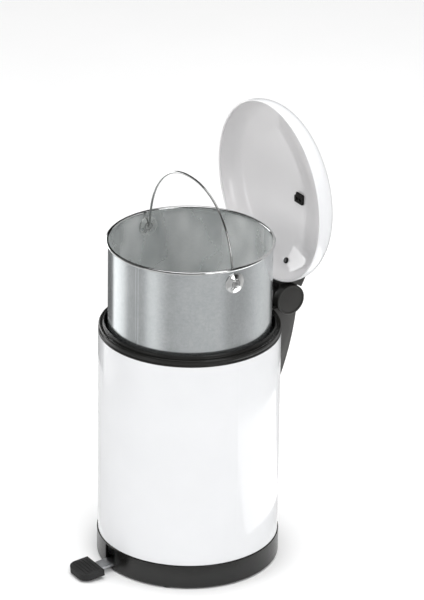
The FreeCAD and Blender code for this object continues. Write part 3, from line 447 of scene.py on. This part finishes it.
def build_hinge_caps():
    """Round covers with a rolled rim and a faintly dished face."""
    radius = (cap_high.z - cap_low.z) / 2
    thick = cap_high.x - cap_low.x
    centre = (cap_low + cap_high) / 2
    profile = [(0, 0), (radius, 0), (radius, thick - 1.1 * MM)]
    profile += arc((radius - 1.1 * MM, thick - 1.1 * MM), 1.1 * MM, 5, 90, 6)
    profile += [(radius - 2.2 * MM, thick)]
    profile += arc((radius - 2.6 * MM, thick - 0.4 * MM), 0.4 * MM, 80, 175, 4)
    profile += [(radius - 3.2 * MM, thick - 0.75 * MM), (radius * 0.6, thick - 0.6 * MM)]
    profile += [(0, thick - 0.5 * MM)]
    for side, name in ((1, "hinge_cap_right"), (-1, "hinge_cap_left")):
        cap = lathe(name + "_cover", profile, 128, closed=False)
        smooth_by_angle(cap, 40)
        turn = Matrix.Rotation(math.radians(90 * side), 4, "Y")
        spot = Vector((cap_low.x * side, centre.y, centre.z))
        settle(cap, Matrix.Translation(spot) @ turn)
        fit(cap, "can", BLACK, "black_plastic", name)


# ---------------------------------------------------------------- lid

LID_SHOULDER = 29.4 * MM
LID_SKIRT = 5.0 * MM
LID_RISE = 54.5 * MM
LID_SHEET = 1.2 * MM
LID_HEM = 1.3 * MM
lid_run = LID_R - LID_SHOULDER
lid_climb = LID_RISE - LID_SKIRT
CROWN_R = (lid_run**2 + lid_climb**2 - LID_SHOULDER**2) / (2 * (lid_climb - LID_SHOULDER))

lid_matrix = (
    Matrix.Translation(PIN)
    @ Matrix.Rotation(-LID_OPEN, 4, "X")
    @ Matrix.Translation(Vector((0, 0, LID_REST)) - PIN)
)


def lid_height(radius, inset):
    """Height of the lid's skin above its rim plane, for a skin inset from the outside."""
    crown = CROWN_R - inset
    shoulder = LID_SHOULDER - inset
    meet = lid_run * crown / (CROWN_R - LID_SHOULDER)
    if radius < meet:
        return LID_RISE - CROWN_R + math.sqrt(crown**2 - radius**2)
    reach = min(max(radius - lid_run, 0), shoulder)
    return LID_SKIRT + math.sqrt(max(shoulder**2 - reach**2, 0))


def ease(value):
    value = min(max(value, 0), 1)
    return value * value * (3 - 2 * value)


def build_lid():
    """Dish of two skins joined by a rolled hem."""
    inner_r = LID_R - LID_SHEET
    shares = [i / 40 for i in range(41)]
    shares += [1 - (1 - lid_run / LID_R) * (1 - math.sin(math.radians(a))) for a in range(3, 90, 3)]
    shares = sorted(set(round(s, 6) for s in shares))
    outside = [(LID_R * s, lid_height(LID_R * s, 0.0)) for s in shares]
    inside = [(inner_r * s, lid_height(inner_r * s, LID_SHEET)) for s in reversed(shares)]
    hem = arc((LID_R - LID_HEM, LID_HEM), LID_HEM, 0, -250, 14)
    profile = outside + [(LID_R, LID_SKIRT * 0.6)] + hem + [(inner_r, LID_SKIRT * 0.75)] + inside
    lid = lathe("lid", profile, 320, closed=False)
    smooth_by_angle(lid, 60)
    outer_faces = []
    for face in lid.data.polygons:
        reach = math.hypot(face.center.x, face.center.y)
        if face.center.z > lid_height(reach, LID_SHEET / 2) or reach > LID_R - LID_SHEET / 2:
            outer_faces.append(face.index)
    settle(lid, lid_matrix)
    fit(lid, "lid", LID_INSIDE_PAINTED_LIGHT, "white_lacquer", "lid_shell")
    # The outside skin takes the body's white; the inner dish keeps the lighter copy, which is painted light
    lid.data.materials.append(WHITE)
    for index in outer_faces:
        lid.data.polygons[index].material_index = 1


# ---------------------------------------------------------------- bucket

BEAD = 2.3 * MM
BEAD_CIRCLE = bucket_high.x + 0.9 * MM - BEAD
BEAD_HEIGHT = bucket_high.z - BEAD
SEAM_FRONT = math.radians(-71.5)
SEAM_HALF = 2.6 * MM


def bucket_skin(radius, angle, height):
    """Thin sheet is never quite round: long shallow waves."""
    if height > BEAD_HEIGHT - 4 * MM:
        return radius, height
    wave = noise.noise(Vector((math.cos(angle) * 1.7, math.sin(angle) * 1.7, height * 7)))
    fade = ease((BEAD_HEIGHT - height) / 0.03)
    return radius + 0.22 * MM * wave * fade, height


def build_bucket_wall():
    """Sheet wall with its top edge rolled over the rim wire."""
    outer, inner = BUCKET_R, BUCKET_R - SHEET
    low = bucket_low.z
    rows = 44
    rise = [low + (BEAD_HEIGHT - 1.4 * MM - low) * i / rows for i in range(rows + 1)]
    profile = [(outer, z) for z in rise]
    profile += [(outer, BEAD_HEIGHT - 0.9 * MM), (outer + 0.5 * MM, BEAD_HEIGHT - 0.7 * MM)]
    profile += arc((BEAD_CIRCLE, BEAD_HEIGHT), BEAD, -100, 190, 22)
    profile += [(inner, z) for z in reversed(rise)]
    wall = lathe("bucket_sheet", profile, 288, shape=bucket_skin)
    smooth_by_angle(wall, 50)
    fit(wall, "bucket", ZINC, "galvanised_steel", "bucket_wall")
    wall.data.materials.append(DULL_ZINC)
    wall.data.materials.append(BEAD_ZINC)
    for face in wall.data.polygons:
        centre = face.center
        if centre.z > BEAD_HEIGHT - 1.5 * MM:
            face.material_index = 2
        elif math.hypot(centre.x, centre.y) < BUCKET_R - SHEET / 2:
            face.material_index = 1


def build_bucket_bottom():
    """Recessed floor with pressed rings, its edge folded up round the wall."""
    low, high = bottom_low.z, bottom_high.z
    outer = bottom_high.x
    inner = BUCKET_R - 2 * SHEET
    top = high
    profile = [(0, top)]
    for ring in (30, 60, 88):
        for step in range(-4, 5):
            radius = ring * MM + step * 0.8 * MM
            profile.append((radius, top + 0.9 * MM * math.cos(step * math.pi / 8) ** 2))
    profile += [(inner + SHEET, top), (inner + SHEET, low + SHEET), (BUCKET_R, low + SHEET)]
    profile += [(BUCKET_R, high), (outer, high), (outer, low + 0.3 * MM), (outer - 0.3 * MM, low)]
    profile += [(inner, low), (inner, top - SHEET), (0, top - SHEET)]
    bottom = lathe("bucket_floor", profile, 192, closed=False)
    smooth_by_angle(bottom, 40)
    fit(bottom, "bucket", DULL_ZINC, "galvanised_steel", "bucket_bottom")


def build_side_seam():
    """Flat lock seam down the bucket: a folded strip standing a little proud, both sides."""
    strips = []
    for angle, radius, name in (
        (SEAM_FRONT, BUCKET_R + 0.1 * MM, "seam_outside"),
        (math.radians(84), BUCKET_R - SHEET - 0.1 * MM, "seam_inside"),
    ):
        outward = 1 if radius > BUCKET_R else -1
        points, faces = [], []
        low, high = bucket_low.z + 6 * MM, BEAD_HEIGHT - 2.2 * MM
        rows = 60
        rise = 0.14 if outward > 0 else 0.55
        section = [(-1, -0.3), (-0.98, rise - 0.1), (-0.85, rise), (0.85, rise), (0.98, rise - 0.1), (1, -0.3)]
        for i in range(rows + 1):
            z = low + (high - low) * i / rows
            for across, proud in section:
                r = radius + outward * proud * MM
                turn = angle + across * SEAM_HALF / BUCKET_R
                points.append((r * math.cos(turn), r * math.sin(turn), z))
        n = len(section)
        for i in range(rows):
            for k in range(n - 1):
                a = i * n + k
                faces.append((a, a + 1, a + n + 1, a + n))
        strip = make_object(name, mesh_from(name, points, faces))
        strips.append(strip)
    for strip, finish in zip(strips, (ZINC, DULL_ZINC)):
        smooth_by_angle(strip, 40)
        fit(strip, "bucket", finish, "galvanised_steel")


# ---------------------------------------------------------------- bail and ears

BAIL_R = 1.6 * MM
BAIL_HALF = 105.9 * MM
BAIL_RISE = 112.0 * MM
BAIL_POWER = 0.92
BAIL_BEND = 3.0 * MM


def bail_points():
    """A slightly squared half ellipse on two short legs, ends turned out through the ears."""
    end = BUCKET_R + 3.3 * MM
    pivot = BAIL_PIVOT.z
    half = [Vector((end - (end - BAIL_HALF - BAIL_BEND) * i / 4, 0, pivot)) for i in range(4)]
    for i in range(7):
        turn = math.radians(-90 - 90 * i / 6)
        x = BAIL_HALF + BAIL_BEND + BAIL_BEND * math.cos(turn)
        half.append(Vector((x, 0, pivot + BAIL_BEND + BAIL_BEND * math.sin(turn))))
    steps = 56
    for i in range(1, steps):
        turn = math.pi / 2 * i / steps
        x = BAIL_HALF * math.cos(turn) ** BAIL_POWER
        z = BAIL_RISE * math.sin(turn) ** BAIL_POWER
        if z > BAIL_BEND * 1.2:
            half.append(Vector((x, 0, pivot + z)))
    mirrored = [Vector((-p.x, 0, p.z)) for p in reversed(half)]
    return half + [Vector((0, 0, pivot + BAIL_RISE))] + mirrored


def bail_head(side):
    """The wire's end, upset into a small domed head outside the eyelet."""
    start = BUCKET_R + 3.55 * MM
    profile = [(0, 0), (2.2 * MM, 0)]
    profile += arc((1.7 * MM, 0.12 * MM), 0.5 * MM, 0, 70, 4)
    profile += [(1.1 * MM, 0.58 * MM), (0, 0.62 * MM)]
    head = lathe("head", profile, 40, closed=False)
    turn = Matrix.Rotation(math.radians(90 * side), 4, "Y")
    return settle(head, Matrix.Translation((start * side, 0, BAIL_PIVOT.z)) @ turn)


def build_bail():
    wire = tube("bail_wire", bail_points(), BAIL_R, 20)
    whole = join_into("bail_wire_headed", [wire, bail_head(1), bail_head(-1)])
    smooth_by_angle(whole, 50)
    fit(whole, "bail", WIRE, "zinc_wire", "bail")


GROOVE_FLOOR = 0.4


def ear_profile(height):
    """Half section of a pressed disc: rolled edge, cone, and a groove round a collar."""
    profile = [(14.5, 0.0), (14.5, 0.5)]
    profile += arc((13.9, 0.5), 0.6, 10, 100, 5)
    for share in (0.05, 0.3, 0.6, 0.9, 1.0):
        profile.append((13.6 - 6.9 * share, 1.05 + (height - 1.05) * share**0.92))
    profile += [(6.2, height), (5.9, height - 0.3)]
    profile += [(5.7, GROOVE_FLOOR), (5.1, GROOVE_FLOOR), (5.0, height - 0.2)]
    profile += [(4.7, height + 0.1), (4.2, height + 0.1), (3.9, height - 0.3)]
    profile += [(3.8, GROOVE_FLOOR), (3.0, GROOVE_FLOOR), (3.0, 0.0)]
    return [(r * MM, h * MM) for r, h in profile]


def tab_points(height):
    """A small wire loop lying on the disc, below the middle."""
    points = []
    for along, across in ((4.9, -1.5), (7.0, -1.7), (9.0, -1.6)):
        points.append((along, across))
    for step in range(1, 8):
        turn = math.radians(-90 + 180 * step / 8)
        points.append((9.4 + 1.6 * math.cos(turn), 1.6 * math.sin(turn)))
    points += [(9.0, 1.6), (7.0, 1.7), (4.9, 1.5)]
    tilt = math.radians(-127)
    spots = []
    for along, across in points:
        x = along * math.cos(tilt) - across * math.sin(tilt)
        y = along * math.sin(tilt) + across * math.cos(tilt)
        fall = 0.055 * max(math.hypot(along, across) - 6, 0) ** 1.6
        spots.append((x * MM, y * MM, (height - 0.25 - fall) * MM))
    return spots


def curved_to_wall(thing, radius, inward):
    """Bend a disc lying in its own plane, so that its back follows the wall."""
    for vertex in thing.data.vertices:
        sag = radius - math.sqrt(max(radius**2 - vertex.co.x**2, 0))
        vertex.co.z -= sag if not inward else -sag
    thing.data.update()


def build_ears():
    """Each ear: a bright pressed disc on the wall's outside and a flatter one inside."""
    for side, name in ((1, "right"), (-1, "left")):
        for inward in (False, True):
            height = 2.6 if inward else 3.6
            disc = lathe("disc", ear_profile(height), 72)
            loop = tube("loop", tab_points(height), 0.9 * MM, 12)
            whole = join_into(f"ear_{'inner' if inward else 'outer'}_{name}_disc", [disc, loop])
            wall = BUCKET_R - SHEET if inward else BUCKET_R
            curved_to_wall(whole, wall, inward)
            # The disc's own X becomes Y and its own Y becomes Z.
            upright = Matrix(((0, 0, 1, 0), (1, 0, 0, 0), (0, 1, 0, 0), (0, 0, 0, 1)))
            if inward:
                upright = Matrix.Diagonal((-1, 1, 1, 1)) @ upright
            if side < 0:
                upright = Matrix.Diagonal((-1, 1, 1, 1)) @ upright
            settle(whole, Matrix.Translation((wall * side, 0, BAIL_PIVOT.z)) @ upright)
            weld(whole.data)
            smooth_by_angle(whole, 50)
            cad = f"ear_{'inner' if inward else 'outer'}_{name}"
            fit(whole, "bucket", BRIGHT, "bright_steel", cad)
            # Faces low in the grooves and round the middle get near-black steel: painted shade in the hollows
            whole.data.materials.append(SHADED_STEEL)
            centre = Vector((0, BAIL_PIVOT.z))
            for face in whole.data.polygons:
                spot = Vector((face.center.y, face.center.z)) - centre
                proud = abs(abs(face.center.x) - wall)
                if proud < 1.4 * MM and spot.length < 6.0 * MM:
                    face.material_index = 1


# ---------------------------------------------------------------- studio

CAMERA_AZIMUTH = math.radians(57.587)
CAMERA_ELEVATION = math.radians(24.366)
CAMERA_ROLL = math.radians(0.768)
CAMERA_DISTANCE = 5.6538
CAMERA_LENS = 248.68
AIM_RIGHT = 0.029844
AIM_UP = 0.030943


def build_camera():
    data = bpy.data.cameras.new("camera")
    data.sensor_width = 36
    data.lens = CAMERA_LENS
    data.clip_end = 60
    camera = bpy.data.objects.new("camera", data)
    bpy.context.scene.collection.objects.link(camera)
    a, e = CAMERA_AZIMUTH, CAMERA_ELEVATION
    back = Vector((math.sin(a) * math.cos(e), -math.cos(a) * math.cos(e), math.sin(e)))
    right = Vector((math.cos(a), math.sin(a), 0))
    up = back.cross(right)
    tilt_right = right * math.cos(CAMERA_ROLL) + up * math.sin(CAMERA_ROLL)
    tilt_up = up * math.cos(CAMERA_ROLL) - right * math.sin(CAMERA_ROLL)
    aim = Vector((0, 0, LEDGE)) + right * AIM_RIGHT + up * AIM_UP
    axes = Matrix((tilt_right, tilt_up, back)).transposed().to_4x4()
    camera.matrix_world = Matrix.Translation(aim + back * CAMERA_DISTANCE) @ axes
    bpy.context.scene.camera = camera


def build_floor():
    size = 30
    mesh = mesh_from(
        "floor", [(-size, -size, 0), (size, -size, 0), (size, size, 0), (-size, size, 0)], [(0, 1, 2, 3)]
    )
    floor = make_object("floor", mesh, smooth=False)
    material, tree, shader = new_material("studio_floor")
    space = object_space(tree)
    tone = ramp(tree, noise_of(tree, space, 3, 2), [(0.3, (0.93, 0.93, 0.93)), (0.7, (0.95, 0.95, 0.95))])
    tree.links.new(tone, shader.inputs["Base Color"])
    shader.inputs["Roughness"].default_value = 0.9
    shader.inputs["Specular IOR Level"].default_value = 0.1
    paint(floor, material)


def area_light(name, spot, aim, size, power, reflected=False):
    data = bpy.data.lights.new(name, "AREA")
    data.shape = "RECTANGLE"
    data.size, data.size_y = size
    data.energy = power
    light = bpy.data.objects.new(name, data)
    bpy.context.scene.collection.objects.link(light)
    direction = Vector(aim) - Vector(spot)
    light.rotation_mode = "QUATERNION"
    light.rotation_quaternion = direction.to_track_quat("-Z", "Y")
    light.location = spot
    light.visible_camera = False
    light.visible_glossy = reflected
    return light


def only_reflected(thing):
    """A studio screen that shows in gloss and metal only."""
    thing.visible_camera = False
    thing.visible_diffuse = False
    thing.visible_shadow = False
    thing.visible_transmission = False
    thing.visible_volume_scatter = False


def glow_material(name):
    material = bpy.data.materials.new(name)
    material.use_nodes = True
    tree = material.node_tree
    tree.nodes.clear()
    out = tree.nodes.new("ShaderNodeOutputMaterial")
    glow = tree.nodes.new("ShaderNodeEmission")
    tree.links.new(glow.outputs["Emission"], out.inputs["Surface"])
    return material, tree, glow


# Grey level of the screens round the can, by direction from its axis in degrees.
SCREENS = [
    (-180, 0.12), (-161.5, 0.12), (-158, 1.38), (-142, 1.20), (-131, 0.90), (-122, 0.42), (-104, 0.34),
    (-94, 0.40), (-87, 0.74), (-78, 0.78), (-70, 0.58), (-59, 0.36), (-45, 0.43), (-20, 0.49),
    (8, 0.50), (20, 0.31), (38, 0.31), (52, 0.42), (68, 0.58), (79, 0.64), (103, 0.58), (113, 0.16),
    (180, 0.14),
]
SCREEN_FAR = 0.75
SCREEN_TOP = 1.9
SCREEN_FADE = (0.46, 0.56)
UPPER_SHARE = 0.14


def build_screens():
    """A bowl of grey and white screens, seen only in reflections."""
    profile = [(SCREEN_FAR * 0.86, 0.006), (SCREEN_FAR, 0.1), (SCREEN_FAR, SCREEN_TOP)]
    bowl = lathe("screens", profile, 96, closed=False)
    material, tree, glow = glow_material("screen_greys")
    coords = node(tree, "ShaderNodeTexCoord")
    split = node(tree, "ShaderNodeSeparateXYZ")
    tree.links.new(coords.outputs["Object"], split.inputs["Vector"])
    angle = node(tree, "ShaderNodeMath", operation="ARCTAN2")
    tree.links.new(split.outputs["Y"], angle.inputs[0])
    tree.links.new(split.outputs["X"], angle.inputs[1])
    share = node(tree, "ShaderNodeMapRange")
    share.inputs["From Min"].default_value = -math.pi
    share.inputs["From Max"].default_value = math.pi
    tree.links.new(angle.outputs["Value"], share.inputs["Value"])
    stops = [((a + 180) / 360, (g / 2, g / 2, g / 2)) for a, g in SCREENS]
    tree.links.new(ramp(tree, share.outputs["Result"], stops), glow.inputs["Color"])
    fade = node(tree, "ShaderNodeMapRange")
    fade.inputs["From Min"].default_value, fade.inputs["From Max"].default_value = SCREEN_FADE
    fade.inputs["To Min"].default_value = 2.0
    fade.inputs["To Max"].default_value = 2.0 * UPPER_SHARE
    tree.links.new(split.outputs["Z"], fade.inputs["Value"])
    tree.links.new(fade.outputs["Result"], glow.inputs["Strength"])
    paint(bowl, material)
    only_reflected(bowl)


# Corners of the softbox that shines in the lid.
SOFTBOX = [(-0.426, -0.178, 0.401), (-0.458, -0.063, 0.369), (-0.469, 0.055, 0.633), (-0.385, -0.235, 0.52)]


def build_softbox():
    box = make_object("softbox", mesh_from("softbox", SOFTBOX, [(0, 1, 2, 3)]), smooth=False)
    material, tree, glow = glow_material("softbox_glow")
    space = object_space(tree)
    tone = ramp(tree, noise_of(tree, space, 2, 1), [(0.2, (0.9, 0.9, 0.9)), (0.8, (1, 1, 1))])
    tree.links.new(tone, glow.inputs["Color"])
    glow.inputs["Strength"].default_value = 4.5
    paint(box, material)
    only_reflected(box)


def build_world():
    world = bpy.data.worlds.new("studio")
    bpy.context.scene.world = world
    world.use_nodes = True
    background = world.node_tree.nodes["Background"]
    background.inputs["Color"].default_value = (1, 1, 1, 1)
    background.inputs["Strength"].default_value = 0.62


CARD_FROM = math.radians(28)
CARD_TO = math.radians(100)


def build_cards():
    """A white card low at the right and one overhead, seen only in reflections."""
    points, steps = [], 8
    for i in range(steps + 1):
        turn = CARD_FROM + (CARD_TO - CARD_FROM) * i / steps
        for reach in (0.22, 0.58):
            points.append((reach * math.cos(turn), reach * math.sin(turn), 0.012))
    faces = [(2 * i, 2 * i + 1, 2 * i + 3, 2 * i + 2) for i in range(steps)]
    low = make_object("low_card", mesh_from("low_card", points, faces), smooth=False)
    corners = [(-0.7, -0.7, 2.3), (0.7, -0.7, 2.3), (0.7, 0.7, 2.3), (-0.7, 0.7, 2.3)]
    high = make_object("high_card", mesh_from("high_card", corners, [(0, 1, 2, 3)]), smooth=False)
    corners = []
    for turn, height in ((-14, 0.52), (16, 0.52), (16, 0.92), (-14, 0.92)):
        turn = math.radians(turn)
        corners.append((0.70 * math.cos(turn), 0.70 * math.sin(turn), height))
    side = make_object("side_card", mesh_from("side_card", corners, [(0, 1, 2, 3)]), smooth=False)
    ground = lathe("ground_card", [(0.17, 0.004), (0.64, 0.006)], 96, closed=False)
    for card, strength in ((low, 2.6), (high, 1.9), (side, 3.0), (ground, 0.8)):
        material, tree, glow = glow_material(card.name + "_glow")
        space = object_space(tree)
        tone = ramp(tree, noise_of(tree, space, 2, 1), [(0.2, (0.9, 0.9, 0.9)), (0.8, (1, 1, 1))])
        tree.links.new(tone, glow.inputs["Color"])
        glow.inputs["Strength"].default_value = strength
        paint(card, material)
        only_reflected(card)


def spot_light(name, spot, aim, cone, power):
    data = bpy.data.lights.new(name, "SPOT")
    data.energy = power
    data.spot_size = math.radians(cone)
    data.spot_blend = 0.4
    data.shadow_soft_size = 0.06
    light = bpy.data.objects.new(name, data)
    bpy.context.scene.collection.objects.link(light)
    direction = Vector(aim) - Vector(spot)
    light.rotation_mode = "QUATERNION"
    light.rotation_quaternion = direction.to_track_quat("-Z", "Y")
    light.location = spot
    light.visible_glossy = False
    return light


def light_only(light, names):
    """Keep a light off everything but the named pieces."""
    lit = bpy.data.collections.new(light.name + "_lit")
    for name in names:
        lit.objects.link(bpy.data.objects[name])
    light.light_linking.receiver_collection = lit


def build_lights():
    area_light("key", (2.6, -0.4, 2.2), (0, 0, 0.4), (1.6, 1.6), 28)
    area_light("fill", (-0.3, -3.0, 1.6), (0, 0, 0.4), (1.6, 1.6), 17)
    area_light("right", (1.8, 2.2, 0.9), (0, 0, 0.2), (1.4, 1.4), 6)
    area_light("top", (0, 0.1, 3.2), (0, 0, 0.3), (2.4, 2.4), 66)
    snoot = spot_light("bucket_spot", (-0.163, -0.925, 2.226), (0, 0.01, 0.45), 6.4, 380)
    light_only(snoot, ("bucket_sheet", "bucket_floor", "seam_inside"))


# ---------------------------------------------------------------- build

bpy.context.scene.view_settings.view_transform = "Standard"
bpy.context.scene.cycles.glossy_bounces = 12
build_camera()
build_world()
build_floor()
build_screens()
build_softbox()
build_cards()
finish_cad_nodes()
build_rim_ring()
build_hinge_caps()
build_lid()
build_bucket_wall()
build_bucket_bottom()
build_side_seam()
build_bail()
build_ears()
build_lights()
for label, width, body in (("hinge_housing", 0.0009, "can"), ("lid_bracket", 0.0009, "lid")):
    soft = softened(label, width)
    fit(soft, body, BLACK, "black_plastic", label)
